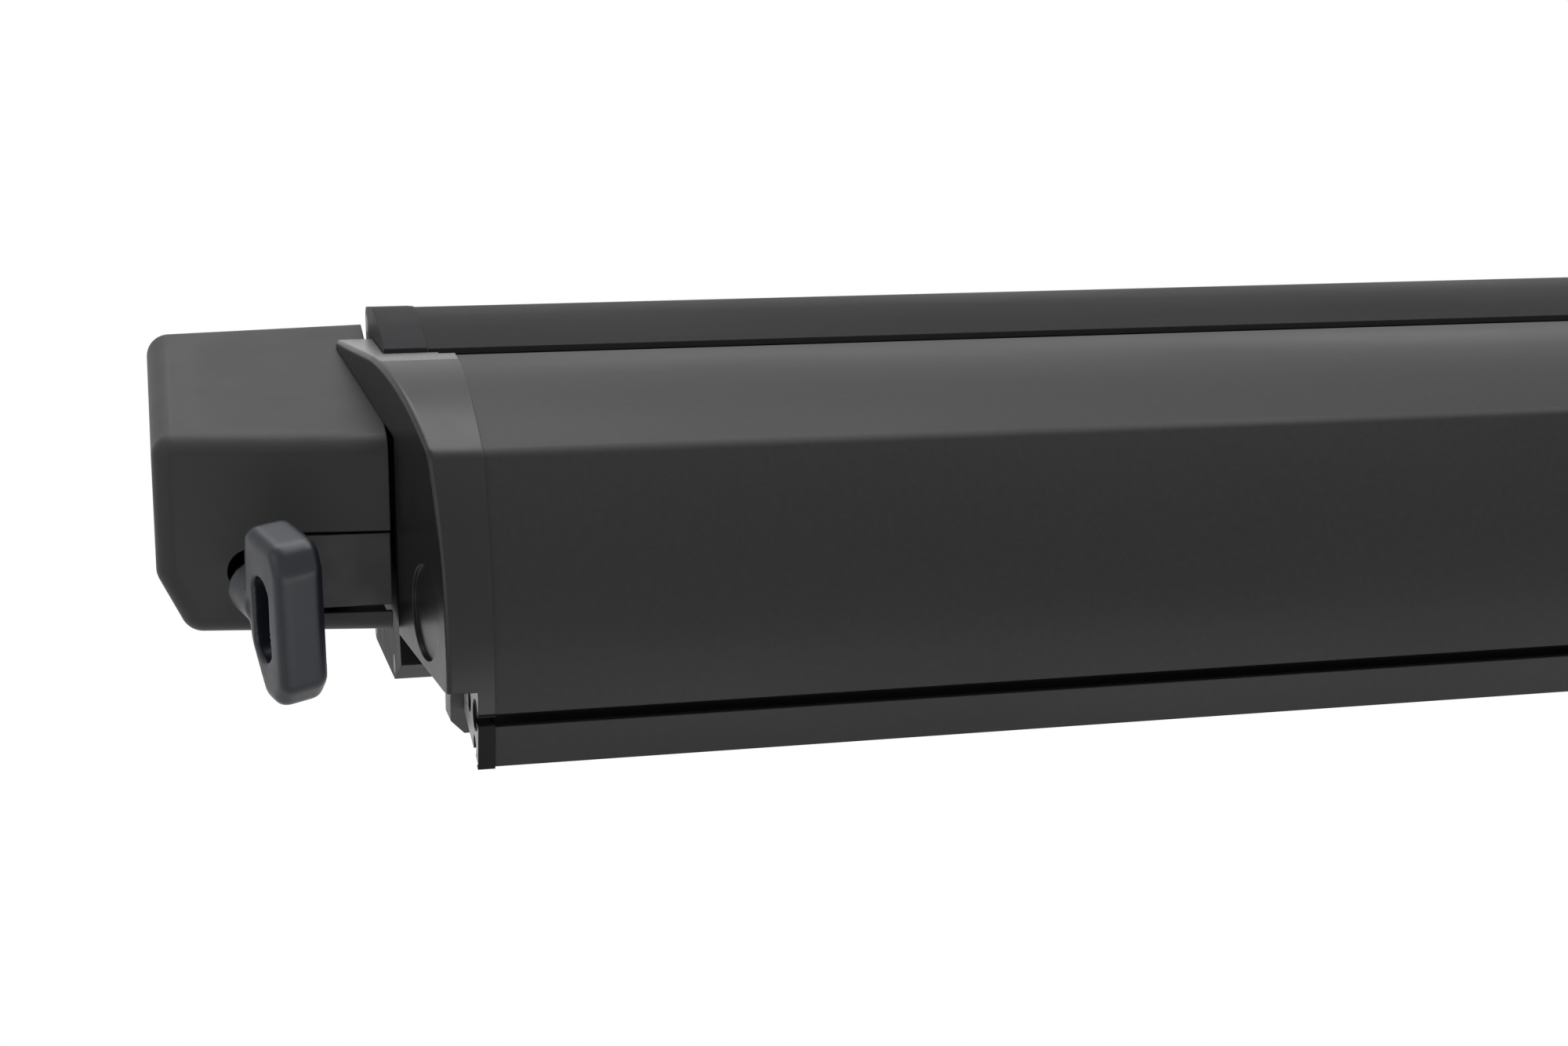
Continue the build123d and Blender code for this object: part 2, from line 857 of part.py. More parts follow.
def tongue_layers():
    return [(-tongue_height / 2, tongue_height / 2)]


def pivot_pin(pivot, half_height, radius):
    """Headed pivot pin."""
    body = Pos(*pivot) * Cylinder(radius, half_height * 2)
    head = Cylinder(pin_head_radius, pin_head)
    return body + [Pos(pivot[0], pivot[1], side * (half_height + pin_head / 2)) * head for side in (-1, 1)]


def upper_y():
    return -arm_tube_shift


def fore_y():
    return -pivot_offset + arm_tube_shift


def bracket_lugs(pivot, web_side):
    """Two lugs over and under a hub, with the web that joins them beyond the hub."""
    inner = arm_tube_height / 2 + seat_gap
    outer = inner + lug_thickness
    web_near = pivot[1] + web_side * (hub_radius + lug_web_gap)
    edge = web_near + web_side * bracket_plate
    low, high = sorted((pivot[1], edge))
    lug = Pos(*pivot) * Circle(hub_radius)
    lug += Pos(pivot[0], (low + high) / 2) * Rectangle(hub_radius * 2, high - low)
    body = extrude(Plane.XY.offset(inner) * lug, amount=lug_thickness)
    body += extrude(Plane.XY.offset(-outer) * lug, amount=lug_thickness)
    low, high = sorted((web_near, edge))
    body += Pos(pivot[0], (low + high) / 2, 0) * Box(hub_radius * 2, high - low, outer * 2)
    return body - Pos(*pivot) * Cylinder(pin_radius + run_clearance, outer * 4)


def lug_half():
    return arm_tube_height / 2 + seat_gap + lug_thickness


def in_section(inward, height):
    """Section place, as (back, up), of a point of the fold plane's own frame."""
    tilt = radians(fold_tilt)
    return (
        shoulder_back + inward * cos(tilt) - height * sin(tilt),
        shoulder_up + inward * sin(tilt) + height * cos(tilt),
    )


def shoulder_bracket():
    """Left shoulder bracket, standing on the case's floor."""
    x = -case_end + arm_inset
    front = sill_back + port_radius + seat_gap
    rear = front + bracket_width
    floor = floor_up(front) + seat_gap
    web = hub_radius + lug_web_gap
    web_back, web_low = in_section(web + bracket_plate, -lug_half())
    foot = outline([
        (front, floor),
        (rear, floor),
        (rear, floor + bracket_plate),
        (web_back + bracket_plate, floor + bracket_plate * 2),
        in_section(web + bracket_plate, 0),
        in_section(web, 0),
        in_section(web, -lug_half()),
        (front, floor + bracket_plate * 2),
    ])
    return fold_plane() * bracket_lugs((0, 0), 1) + prism(foot, x - hub_radius, x + hub_radius)


def wrist_bracket():
    """Left wrist bracket, standing on the lead bar's web."""
    x = -case_end + arm_inset
    lug_middle = lug_thickness / 2 - lug_half()
    rear_back, rear_up = in_section(pin_head_radius + bracket_plate - pivot_offset, lug_middle)
    front_back, front_up = in_section(-pivot_offset - hub_radius - lug_web_gap, lug_middle)
    foot = outline([
        (front_back, web_top + seat_gap),
        (rear_back, web_top + seat_gap),
        (rear_back, rear_up),
        (front_back, front_up),
    ])
    body = fold_plane() * bracket_lugs(wrist_point(), -1)
    body += prism(foot, x - bracket_width / 2, x + bracket_width / 2)
    head_room = Cylinder(pin_head_radius + seat_gap, lug_thickness)
    pin_room = Cylinder(pin_radius + run_clearance, lug_half() * 2)
    pin_room += Pos(0, 0, -lug_half() - lug_thickness / 2) * head_room
    return body - fold_plane() * (Pos(*wrist_point()) * pin_room)


def arm_nodes():
    """Pieces of the left arm."""
    plane = fold_plane()
    bore = pin_radius + run_clearance
    elbow = elbow_point()
    wrist = wrist_point()
    return {
        "shoulder_hub": plane * knuckle((0, 0), upper_y(), 1, full_layer(), bore),
        "upper_tube": plane * arm_tube(upper_y()),
        "elbow_fork": plane * knuckle(elbow, upper_y(), -1, fork_layers(), bore),
        "elbow_tongue": plane * knuckle(elbow, fore_y(), -1, tongue_layers(), bore),
        "forearm_tube": plane * arm_tube(fore_y()),
        "wrist_hub": plane * knuckle(wrist, fore_y(), 1, full_layer(), bore),
        "shoulder_pin": plane * pivot_pin((0, 0), lug_half(), pin_radius),
        "elbow_pin": plane * pivot_pin(elbow, arm_tube_height / 2, pin_radius),
        "wrist_pin": plane * pivot_pin(wrist, lug_half(), pin_radius),
        "shoulder_bracket": shoulder_bracket(),
        "wrist_bracket": wrist_bracket(),
    }


# Lead bar end caps and support legs


def bar_cap_side(inset):
    """Side outline of the end cap, from its foot up to the ear over the gear cover."""
    slope = (cover_rear_up - cover_top_up) / (section_depth - cover_rear_clear - cover_front_back)
    rear = bar_cap_rear_back - ear_clear
    knee_up = cover_top_up + ear_clear
    tip_up = cover_top_up + slope * (ear_back - cover_front_back) + ear_clear
    region = panel_region([(ear_back, bar_height), (ear_back, tip_up), (rear, knee_up), (rear, 0)])
    return offset(region, bar_cap_skin - inset, kind=Kind.INTERSECTION)


def bar_cap_plan(inset):
    """Plan of the end cap: its outer side flares evenly from the front edge to the ear's tip."""
    near = -bar_end - bar_cap_end_gap
    front = (-bar_end - bar_cap_outset, place(0, 0)[0])
    ear = (-bar_end - ear_outset, place(ear_back, 0)[0])
    flare = (ear[0] - front[0]) / (ear[1] - front[1])
    sides = [front[1] - section_depth, ear[1] + overrun]
    outer = [(front[0] + flare * (y - front[1]) + inset, y) for y in sides]
    plan = make_face(Polyline((near, sides[0]), *outer, (near, sides[1]), close=True))
    return extrude(Plane.XY.offset(-face_height - overrun) * plan, amount=section_depth)


def grip_recess():
    """Round finger recess in the outer side of the end cap."""
    flare = (ear_outset - bar_cap_outset) / ear_back
    inward = Vector(1, flare, 0).normalized()
    middle = Vector(*at(-bar_end - bar_cap_outset - flare * grip_back, grip_back, grip_up))
    return rod(tuple(middle - inward * overrun), tuple(middle + inward * grip_depth), grip_radius)


def lead_bar_cap():
    """Left end cap of the lead bar: hollow body, ear, and the skirt round the panel's end."""
    low_x = -bar_end - section_depth
    near = -bar_end - bar_cap_end_gap
    body = prism(bar_cap_side(0), low_x, near) & bar_cap_plan(0)
    knee = place(bar_cap_rear_back - ear_clear, cover_top_up + ear_clear)
    rims = [
        edge for edge in body.faces().sort_by(Axis.X)[0].edges()
        if min(hypot(v.Y - knee[0], v.Z - knee[1]) for v in edge.vertices()) > bar_cap_wall
    ]
    body = fillet(rims, bar_cap_round)
    body -= prism(bar_cap_side(bar_cap_wall), low_x, near) & bar_cap_plan(bar_cap_wall)
    body -= prism(outline([
        (-section_depth, -overrun),
        (-section_depth, bar_cap_foot_up),
        (0, bar_cap_foot_up),
        (bar_cap_rear_back, bar_cap_foot_up + bar_cap_foot_rise),
        (section_depth, bar_cap_foot_up + bar_cap_foot_rise),
        (section_depth, -overrun),
    ]), low_x, 0)
    body -= grip_recess()
    cap_left = -case_end - cap_width
    inner_edge = cap_left - seat_gap
    behind = outline([
        (chin_back - ear_clear, chin_up),
        (lip_back - ear_clear - ear_clear, lip_up),
        (lip_back - ear_clear - ear_clear, bar_height + section_depth),
        (section_depth, bar_height + section_depth),
        (section_depth, chin_up),
    ])
    body -= prism(behind, inner_edge, 0)
    skirt = bar_cap_skirt_section() - below(groove_up + groove_mouth / 2 + seat_gap)
    return body + prism(skirt, near, -bar_end + bar_cap_skirt)


def bar_cap_skirt_section():
    """Skin of the cap's skirt over the panel, from under the toe to the panel's top edge."""
    whole = bar_whole()
    skirt = offset(whole, bar_cap_skin) - offset(whole, run_clearance)
    return skirt - outline([
        (bar_wall, -overrun),
        (bar_wall, bar_wall),
        (crease_back, port_low_up),
        (crease_back + crease_round, crease_up - crease_round),
        (bar_depth / 2, crease_up + crease_round),
        (bar_depth - bar_wall, bar_height - bar_wall),
        (section_depth, bar_height - bar_wall),
        (section_depth, -overrun),
    ])


def below(height):
    """Face of everything in the section below a height."""
    return outline([
        (-section_depth, -section_depth),
        (section_depth, -section_depth),
        (section_depth, height),
        (-section_depth, height),
    ])


def groove_clip():
    """Left clip that lines the accessory groove's end and carries the skirt on round the toe."""
    skirt = bar_cap_skirt_section() & below(groove_up + groove_mouth / 2)
    trim = run_clearance + bar_cap_skin
    liner = disc(groove_back, groove_up, groove_radius - run_clearance) + groove_mouth_face(run_clearance)
    hollow = disc(groove_back, groove_up, groove_radius - trim) + groove_mouth_face(trim)
    section = skirt + (liner & offset(bar_whole(), bar_cap_skin)) - hollow
    return prism(section, -bar_end - bar_cap_end_gap, -bar_end + bar_cap_skirt)


def leg_pivot():
    return (-bar_end + leg_inset, leg_back, leg_up)


def leg_section(width, height, corner):
    return Pos(*place(leg_back, leg_up)) * RectangleRounded(width, height, corner)


def leg_outer():
    """Left leg's outer tube with its knuckle, round above and cornered below."""
    x, back, up = leg_pivot()
    tube = prism(leg_section(leg_width, leg_height, leg_wall), x + leg_knuckle, x + leg_length)
    bore = leg_section(leg_width - leg_wall * 2, leg_height - leg_wall * 2, leg_wall / 2)
    tube -= prism(bore, x + leg_knuckle - overrun, x + leg_length + overrun)
    block = prism(leg_section(leg_width, leg_height, leg_wall), x, x + leg_knuckle)
    corner = make_face(Polyline(
        (0, 0),
        (-leg_end, 0),
        (-leg_end, leg_chamfer - leg_end),
        (leg_chamfer - leg_end, -leg_end),
        (0, -leg_end),
        close=True,
    ))
    cheek = Plane(origin=at(x, back - leg_width / 2, up), x_dir=(1, 0, 0), z_dir=(0, -1, 0))
    knuckle_end = extrude(cheek * (Circle(leg_end) + corner), amount=-leg_width)
    hole = extrude(cheek * Circle(leg_pin_radius + run_clearance), amount=-leg_width)
    return tube + block + knuckle_end - hole


def leg_inner():
    x, back, up = leg_pivot()
    start = x + leg_length - leg_travel - leg_overlap
    end = x + leg_length + leg_knuckle
    gap = (leg_wall + leg_inner_gap) * 2
    width = leg_width - gap
    height = leg_height - gap
    tube = prism(leg_section(width, height, leg_wall / 2), start, end)
    bore = leg_section(width - leg_wall * 2, height - leg_wall * 2, leg_wall / 4)
    return tube - prism(bore, start - overrun, end + overrun)


def leg_foot():
    """Foot plugged into the inner tube, with its ground plate."""
    x, back, up = leg_pivot()
    end = x + leg_length + leg_knuckle
    gap = (leg_wall + leg_inner_gap + leg_wall + run_clearance) * 2
    plug = prism(leg_section(leg_width - gap, leg_height - gap, leg_wall / 2), end - leg_knuckle, end)
    neck_end = end + foot_length - foot_plate
    neck = prism(leg_section(leg_width, leg_height, leg_wall), end, neck_end)
    plate = prism(leg_section(leg_width, leg_height, leg_wall), neck_end, end + foot_length)
    return plug + neck + plate


def leg_clamp():
    """Collar at the outer tube's end that clamps the inner tube."""
    x, back, up = leg_pivot()
    outer = leg_section(leg_width + clamp_wall * 2, leg_height + clamp_wall * 2, leg_wall + clamp_wall)
    inner = leg_section(leg_width + run_clearance * 2, leg_height + run_clearance * 2, leg_wall)
    end = x + leg_length
    return prism(outer - inner, end - clamp_length, end)


def leg_pin():
    """Pin across the leg bay."""
    x, back, up = leg_pivot()
    front = at(x, web_back - overrun, up)
    rear = at(x, leg_bay_back + bar_wall, up)
    return rod(front, rear, leg_pin_radius)


def with_pin_hole(bar):
    """The lead bar with the holes of both leg pins."""
    x, back, up = leg_pivot()
    for side in (-1, 1):
        front = at(side * x, web_back - overrun - seat_gap, up)
        rear = at(side * x, section_depth, up)
        bar -= rod(front, rear, leg_pin_radius + run_clearance)
    return bar


def main():
    os.makedirs("parts", exist_ok=True)
    stub_end = gear_x() - housing_half() + housing_wall + seat_gap
    nodes = {
        "case_extrusion": case_extrusion(),
        "seal_strip": seal_strip(),
        "gear_cover": gear_cover(),
        "gear_housing_inner": gear_housing(1),
        "gear_housing_outer": gear_housing(-1),
        "worm_wheel": worm_wheel(),
        "worm_shaft": worm_shaft(),
        "crank_eye": crank_eye(),
        "end_cover": mirror(cover_shell(end_cover_width), about=Plane.YZ),
        "roller_tube": roller_tube(),
        "roller_plug_left": roller_plug(stub_end),
        "roller_plug_right": mirror(roller_plug(-case_end - cap_width - cover_gap), about=Plane.YZ),
        "canopy_roll": canopy_roll(),
        "canopy_sheet": canopy_sheet(),
        "hem_rod": hem_rod(),
        "lead_bar": with_pin_hole(prism(bar_section(), -bar_end, bar_end)),
    }
    paired = {
        "case_cap": case_cap(),
        "cap_screws": cap_screws(),
        "roller_bush": roller_bush(),
        "lead_bar_cap": lead_bar_cap(),
        "groove_clip": groove_clip(),
        "leg_outer": leg_outer(),
        "leg_inner": leg_inner(),
        "leg_foot": leg_foot(),
        "leg_clamp": leg_clamp(),
        "leg_pin": leg_pin(),
    }
    paired.update(arm_nodes())
    for name, part in paired.items():
        nodes[f"left_{name}"], nodes[f"right_{name}"] = both_ends(part)
    for name, part in nodes.items():
        export_step(part, f"parts/{name}.step")


if __name__ == "__main__":
    main()
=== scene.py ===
import json
from math import cos, hypot, pi, radians, sin

import bpy
import bmesh
from mathutils import Euler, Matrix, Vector


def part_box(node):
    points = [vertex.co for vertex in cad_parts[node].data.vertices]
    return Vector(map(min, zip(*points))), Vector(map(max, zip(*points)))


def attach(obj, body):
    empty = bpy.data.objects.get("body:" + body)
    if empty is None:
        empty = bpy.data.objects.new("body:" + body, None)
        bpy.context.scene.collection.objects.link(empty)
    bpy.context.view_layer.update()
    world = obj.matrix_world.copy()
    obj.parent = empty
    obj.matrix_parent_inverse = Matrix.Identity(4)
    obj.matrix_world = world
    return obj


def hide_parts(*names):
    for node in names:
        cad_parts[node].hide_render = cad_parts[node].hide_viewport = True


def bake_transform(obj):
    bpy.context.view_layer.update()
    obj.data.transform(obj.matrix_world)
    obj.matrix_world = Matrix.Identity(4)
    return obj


# Sizes are in metres. X runs along the awning, Y towards the vehicle and Z up.
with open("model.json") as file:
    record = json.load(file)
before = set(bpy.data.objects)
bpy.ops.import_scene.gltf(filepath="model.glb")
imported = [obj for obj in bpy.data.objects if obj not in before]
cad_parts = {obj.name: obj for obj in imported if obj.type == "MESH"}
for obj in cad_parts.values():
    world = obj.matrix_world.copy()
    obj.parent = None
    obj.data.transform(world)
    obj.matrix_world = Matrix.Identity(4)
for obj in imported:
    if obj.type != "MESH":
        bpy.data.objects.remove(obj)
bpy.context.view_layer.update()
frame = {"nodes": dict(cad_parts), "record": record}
nodes = frame["nodes"]


# Shading: smooth over shallow angles, crisp over steep ones

part_smooth_limit = radians(28)
roll_smooth_limit = radians(40)
grid_per_metre = 1e6  # points in the same micrometre count as one


def soften(mesh, limit):
    """Gives each face corner the mean normal of the faces round its point within limit."""

    def place_of(vertex):
        return tuple(round(c * grid_per_metre) for c in mesh.vertices[vertex].co)

    groups = {}
    for face in mesh.polygons:
        for vertex in face.vertices:
            groups.setdefault(place_of(vertex), []).append(face)
    cosine = cos(limit)
    normals = []
    for face in mesh.polygons:
        own = face.normal
        for vertex in face.vertices:
            total = Vector((0, 0, 0))
            for other in groups[place_of(vertex)]:
                if own.dot(other.normal) >= cosine:
                    total += other.normal * other.area
            normals.append(total.normalized() if total.length > 0 else own)
    for face in mesh.polygons:
        face.use_smooth = True
    mesh.normals_split_custom_set(normals)


for part in nodes.values():
    soften(part.data, part_smooth_limit)


# Materials


def grey(level):
    return (level, level, level)


def scaled(colour, factor, lift=0.0):
    return tuple(channel * factor + lift for channel in colour)


class Look:
    """A node material with helpers for coordinates, noise and bumps."""

    def __init__(self, name, metallic=0.0, specular=0.5):
        self.material = bpy.data.materials.new(name)
        self.material.use_nodes = True
        self.tree = self.material.node_tree
        self.shader = self.tree.nodes["Principled BSDF"]
        self.shader.inputs["Metallic"].default_value = metallic
        self.shader.inputs["Specular IOR Level"].default_value = specular
        coordinates = self.node("ShaderNodeTexCoord")
        self.place = coordinates.outputs["Object"]
        self.normal = None

    def node(self, kind, **values):
        made = self.tree.nodes.new(kind)
        for key, value in values.items():
            setattr(made, key, value)
        return made

    def link(self, source, target):
        self.tree.links.new(source, target)

    def axis(self, source, name):
        made = self.node("ShaderNodeSeparateXYZ")
        self.link(source, made.inputs["Vector"])
        return made.outputs[name]

    def math(self, operation, *values):
        """One math node; each value is a socket or a number."""
        made = self.node("ShaderNodeMath", operation=operation)
        for value, socket in zip(values, made.inputs):
            if hasattr(value, "is_linked"):
                self.link(value, socket)
            else:
                socket.default_value = value
        return made.outputs["Value"]

    def mapped(self, scale):
        mapping = self.node("ShaderNodeMapping")
        mapping.inputs["Scale"].default_value = scale
        self.link(self.place, mapping.inputs["Vector"])
        return mapping.outputs["Vector"]

    def noise(self, scale, detail, stretch=(1, 1, 1)):
        made = self.node("ShaderNodeTexNoise")
        made.inputs["Scale"].default_value = scale
        made.inputs["Detail"].default_value = detail
        self.link(self.mapped(stretch), made.inputs["Vector"])
        return made.outputs["Fac"]

    def ramp(self, source, low, high, start=0.35, end=0.65):
        made = self.node("ShaderNodeValToRGB")
        made.color_ramp.elements[0].position = start
        made.color_ramp.elements[1].position = end
        made.color_ramp.elements[0].color = (*low, 1)
        made.color_ramp.elements[1].color = (*high, 1)
        self.link(source, made.inputs["Fac"])
        return made.outputs["Color"]

    def spread(self, source, low, high, start=0.3, end=0.7):
        """Takes the range from start to end, which holds most of a noise, to low to high."""
        made = self.node("ShaderNodeMapRange")
        made.inputs["From Min"].default_value = start
        made.inputs["From Max"].default_value = end
        made.inputs["To Min"].default_value = low
        made.inputs["To Max"].default_value = high
        self.link(source, made.inputs["Value"])
        return made.outputs["Result"]

    def blend(self, factor, first, second):
        """Mixes two colours; each is a socket or three numbers."""
        made = self.node("ShaderNodeMix", data_type="RGBA")
        self.link(factor, made.inputs["Factor"])
        for value, socket in ((first, made.inputs["A"]), (second, made.inputs["B"])):
            if hasattr(value, "is_linked"):
                self.link(value, socket)
            else:
                socket.default_value = (*value, 1)
        return made.outputs["Result"]

    def colour(self, source):
        self.link(source, self.shader.inputs["Base Color"])

    def metallic(self, source):
        self.link(source, self.shader.inputs["Metallic"])

    def roughness(self, source):
        self.link(source, self.shader.inputs["Roughness"])

    def rounded(self, radius):
        """Softens the look of sharp edges."""
        made = self.node("ShaderNodeBevel", samples=6)
        made.inputs["Radius"].default_value = radius
        self.normal = made.outputs["Normal"]
        self.link(self.normal, self.shader.inputs["Normal"])

    def bump(self, source, height, strength):
        made = self.node("ShaderNodeBump")
        made.inputs["Strength"].default_value = strength
        made.inputs["Distance"].default_value = height
        self.link(source, made.inputs["Height"])
        if self.normal is not None:
            self.link(self.normal, made.inputs["Normal"])
        self.normal = made.outputs["Normal"]
        self.link(self.normal, self.shader.inputs["Normal"])

    def painted_edge_highlight(self, base, lit_edge_colour, amount):
        """Painted highlight: lightens convex edges a little."""
        geometry = self.node("ShaderNodeNewGeometry")
        edges = self.spread(geometry.outputs["Pointiness"], 0, amount, start=0.52, end=0.62)
        return self.blend(edges, base, lit_edge_colour)


def coated(name, low, high, rough, specular=0.5, cut_end=None):
    """Satin powder coat over drawn aluminium, bare where the profile is sawn off."""
    look = Look(name, specular=specular)
    look.rounded(radius=0.0006)
    drift = look.noise(scale=9, detail=4, stretch=(0.4, 1, 1))
    speckle = look.noise(scale=420, detail=2)
    gloss = look.noise(scale=24, detail=4, stretch=(0.3, 1, 1))
    grain = look.noise(scale=1500, detail=2)
    die_lines = look.noise(scale=260, detail=1, stretch=(0.02, 1, 1))
    tint = look.ramp(drift, low, high)
    tint = look.blend(look.spread(speckle, 0, 0.16), tint, scaled(high, factor=1.7))
    look.bump(grain, height=0.00002, strength=0.35)
    look.bump(die_lines, height=0.00001, strength=0.25)
    if cut_end:
        cut_depth = 0.00015
        saw_marks = look.noise(scale=700, detail=3, stretch=(1, 0.12, 1))
        bare = look.ramp(saw_marks, grey(0.3), grey(0.46))
        from_middle = look.math("ABSOLUTE", look.axis(look.place, "X"))
        sawn = look.math("GREATER_THAN", from_middle, cut_end - cut_depth)
        tint = look.blend(sawn, tint, bare)
        look.metallic(look.math("MULTIPLY", sawn, 0.35))
    look.colour(tint)
    look.roughness(look.spread(gloss, *rough))
    return look.material


def moulded(name, low, high, rough, grain=0.00003, specular=0.5, painted_highlight_above=None):
    """Moulded plastic or cast metal with a fine grain, and a painted highlight on level faces
    above a height.
    """
    look = Look(name, specular=specular)
    look.rounded(radius=0.0008)
    tint = look.ramp(look.noise(scale=14, detail=4), low, high)
    if painted_highlight_above is not None:
        # Painted highlight: level faces above the height are painted light grey with speckled
        # noise, standing in for light on the top face.
        geometry = look.node("ShaderNodeNewGeometry")
        upward = look.axis(geometry.outputs["True Normal"], "Z")
        level = look.spread(upward, 0, 1, start=0.9, end=0.99)
        above = look.math("GREATER_THAN", look.axis(look.place, "Z"), painted_highlight_above)
        specks = look.noise(scale=900, detail=3)
        painted_top_highlight = look.ramp(specks, grey(0.13), (0.24, 0.24, 0.235), start=0.3, end=0.7)
        tint = look.blend(look.math("MULTIPLY", level, above), tint, painted_top_highlight)
    # Painted highlight along convex edges, found by pointiness.
    tint = look.painted_edge_highlight(tint, scaled(high, factor=1.5, lift=0.004), amount=0.3)
    look.colour(tint)
    look.roughness(look.spread(look.noise(scale=60, detail=3), *rough))
    look.bump(look.noise(scale=1900, detail=2), height=grain, strength=0.35)
    return look.material


def metal(name, low, high, rough, streak=(1, 1, 1)):
    """Turned or drawn bare metal."""
    look = Look(name, metallic=1.0)
    look.rounded(radius=0.0004)
    tint = look.ramp(look.noise(scale=180, detail=4, stretch=streak), low, high)
    # Painted highlight along convex edges, found by pointiness.
    look.colour(look.painted_edge_highlight(tint, scaled(high, factor=1.2), amount=0.4))
    look.roughness(look.spread(look.noise(scale=90, detail=3, stretch=streak), *rough))
    look.bump(look.noise(scale=900, detail=2, stretch=streak), height=0.00001, strength=0.5)
    return look.material


def cloth(name, low, high):
    """Coated woven fabric: two crossed sets of threads and a slow colour drift."""
    thread_pitch = 0.0011
    band_spacing = 0.314  # of a wave texture at scale 1
    look = Look(name)
    threads = []
    for direction in ("X", "Y"):
        wave = look.node("ShaderNodeTexWave", wave_type="BANDS", bands_direction=direction)
        wave.inputs["Scale"].default_value = band_spacing / thread_pitch
        wave.inputs["Distortion"].default_value = 0.6
        wave.inputs["Detail"].default_value = 1.0
        look.link(look.mapped((1, 1, 1)), wave.inputs["Vector"])
        threads.append(wave.outputs["Fac"])
    weave = look.math("MULTIPLY", *threads)
    tint = look.ramp(look.noise(scale=6, detail=5), low, high)
    look.colour(look.blend(look.spread(weave, 0, 0.35), tint, scaled(high, factor=1.4)))
    look.roughness(look.spread(look.noise(scale=200, detail=3), 0.7, 0.9))
    look.shader.inputs["Sheen Weight"].default_value = 0.15
    look.bump(weave, height=0.00012, strength=0.6)
    look.bump(look.noise(scale=12, detail=3), height=0.0008, strength=0.25)
    return look.material


def rubber(name, low, high):
    look = Look(name)
    look.rounded(radius=0.0006)
    look.colour(look.ramp(look.noise(scale=40, detail=4), low, high))
    look.roughness(look.spread(look.noise(scale=120, detail=3), 0.7, 0.88))
    look.bump(look.noise(scale=1100, detail=3), height=0.00006, strength=0.6)
    return look.material


bar_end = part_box("lead_bar")[1].x
case_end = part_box("case_extrusion")[1].x
# Painted highlight on the level top faces of the lead bar caps, within this depth of their tops.
highlight_depth = 0.001
ear_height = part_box("left_lead_bar_cap")[1].z - highlight_depth
cap_low, cap_high = (0.016, 0.016, 0.0175), (0.0185, 0.0185, 0.0205)

bar_coat = coated(
    "bar_coat", grey(0.029), grey(0.033), rough=(0.34, 0.44), specular=0.15, cut_end=bar_end
)
case_coat = coated(
    "case_coat", grey(0.015), grey(0.019), rough=(0.46, 0.54), specular=0.05, cut_end=case_end
)
arm_coat = coated("arm_coat", (0.02, 0.02, 0.021), (0.03, 0.03, 0.031), rough=(0.36, 0.5))
cap_plastic = moulded("cap_plastic", cap_low, cap_high, rough=(0.46, 0.54), specular=0.05)
# The lead bar caps carry the painted top highlight.
bar_cap_plastic = moulded(
    "bar_cap_plastic", cap_low, cap_high, rough=(0.27, 0.34), specular=0.25,
    painted_highlight_above=ear_height,
)
cover_plastic = moulded(
    "cover_plastic", grey(0.044), grey(0.049), rough=(0.46, 0.52), specular=0.15
)
black_steel = moulded(
    "black_steel", grey(0.014), grey(0.018), rough=(0.34, 0.44), grain=0.00001
)
housing_plastic = moulded("housing_plastic", grey(0.008), grey(0.013), rough=(0.5, 0.65))
cast_coat = moulded(
    "cast_coat", (0.022, 0.022, 0.023), (0.034, 0.034, 0.035), rough=(0.38, 0.5), grain=0.00006
)
eye_coat = moulded(
    "eye_coat", (0.006, 0.008, 0.013), (0.011, 0.013, 0.02), rough=(0.3, 0.42),
    grain=0.00004, specular=0.35,
)
plated = metal("plated", (0.55, 0.55, 0.56), (0.68, 0.68, 0.69), rough=(0.24, 0.36))
chrome = metal("chrome", (0.75, 0.75, 0.76), (0.82, 0.82, 0.83), rough=(0.08, 0.16))
bronze = metal("bronze", (0.45, 0.29, 0.1), (0.62, 0.43, 0.17), rough=(0.24, 0.38))
drawn = metal(
    "drawn", (0.48, 0.48, 0.49), (0.6, 0.6, 0.61), rough=(0.28, 0.4), streak=(0.03, 1, 1)
)
canopy_cloth = cloth("canopy_cloth", (0.1, 0.105, 0.115), (0.13, 0.135, 0.145))
black_rubber = rubber("black_rubber", grey(0.012), grey(0.022))

slot_looks = {
    "case_black": case_coat,
    "cap_black": cap_plastic,
    "cover_grey": cover_plastic,
    "housing_black": housing_plastic,
    "eye_black": eye_coat,
    "shaft_steel": chrome,
    "gear_brass": bronze,
    "screw_black": black_steel,
    "plain_aluminium": drawn,
    "arm_paint": arm_coat,
    "cast_paint": cast_coat,
    "pin_steel": plated,
    "canopy_grey": canopy_cloth,
    "seal_rubber": black_rubber,
    "foot_rubber": black_rubber,
}
node_looks = {
    "lead_bar": bar_coat,
    "left_lead_bar_cap": bar_cap_plastic,
    "right_lead_bar_cap": bar_cap_plastic,
}
slot_of = {entry["node"]: entry["material_slot"] for entry in frame["record"]["subparts"]}
for name, part in nodes.items():
    part.data.materials.clear()
    part.data.materials.append(node_looks.get(name, slot_looks[slot_of[name]]))
    for face in part.data.polygons:
        face.material_index = 0


def rounder(part, voxel, passes):
    """Rounds a cast piece's edges beyond the radii of its solid."""
    even = part.modifiers.new("even_mesh", "REMESH")
    even.mode = "VOXEL"
    even.voxel_size = voxel
    even.use_smooth_shade = True
    smooth = part.modifiers.new("rounder", "SMOOTH")
    smooth.factor = 0.5
    smooth.iterations = passes


rounder(nodes["crank_eye"], voxel=0.0007, passes=14)


# Canopy: a wound roll on the roller, and the span from it to the lead bar

cloth_turns = 10
turn_steps = 40
wound_fill = 0.86  # share of a turn's pitch that the cloth fills
leave_angle = radians(103)  # where the cloth leaves the roll
tube_gap = 0.0002
tube_sink = 0.0001
span_rows = 36
span_columns = 48
span_thickness = 0.0006
span_inset = 0.0005  # from the faces of the solid that the span replaces


